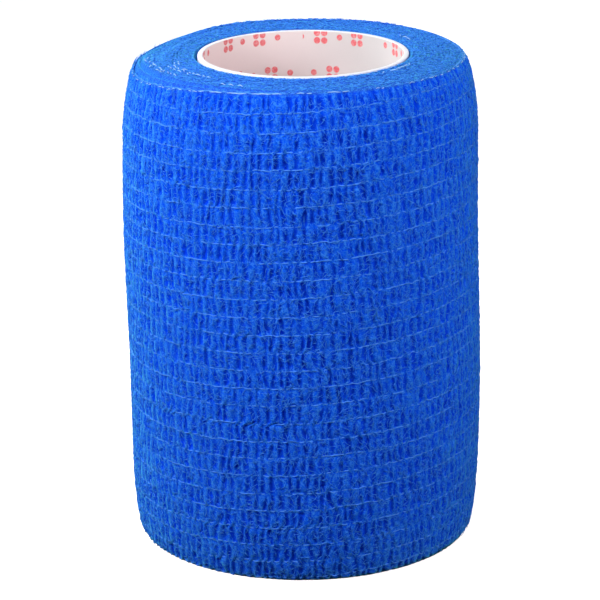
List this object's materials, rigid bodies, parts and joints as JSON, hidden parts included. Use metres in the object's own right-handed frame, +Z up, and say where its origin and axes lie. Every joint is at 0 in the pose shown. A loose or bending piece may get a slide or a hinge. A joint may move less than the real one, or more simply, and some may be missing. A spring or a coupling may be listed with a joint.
{
  "type": "gauze bandage roll",
  "caption": "Roll of blue crinkled elastic bandage wound on a white core tube, standing on end; it wraps and sticks to itself.",
  "frame": {"origin": "middle of the flat base that the roll stands on", "axes": "+Z up along the core; the front of the picture faces -Y, so +X is to the right in the picture"},
  "size_m": [0.0548, 0.0543, 0.075],
  "materials": {
    "bandage_cloth": "matt crinkled elastic nonwoven with fine paler elastic threads running round the roll",
    "core_paper": "smooth white wound paper with a small plain red print inside"
  },
  "bodies": {
    "root": {"bandage_roll": "bandage_cloth", "core_tube": "core_paper"}
  },
  "joints": []
}
